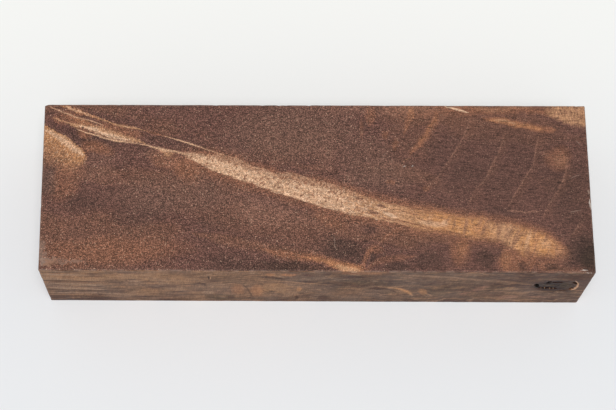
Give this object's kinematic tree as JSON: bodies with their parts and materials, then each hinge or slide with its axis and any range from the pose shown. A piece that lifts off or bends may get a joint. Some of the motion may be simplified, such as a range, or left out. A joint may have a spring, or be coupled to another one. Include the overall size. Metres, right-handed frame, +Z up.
{
  "type": "stabilized walnut burl block",
  "caption": "Solid rectangular block of resin-hardened walnut burl with a round bark-ringed knot in one long face, for carving, turning or a handle.",
  "frame": {"origin": "middle of the underside, the face the block rests on", "axes": "+X along the length towards the end with the knot, +Y away from the face with the knot, +Z up"},
  "size_m": [0.1304, 0.042, 0.026],
  "materials": {
    "burl_wood": "satin"
  },
  "bodies": {
    "root": {"walnut_burl_block": "burl_wood"}
  },
  "joints": []
}
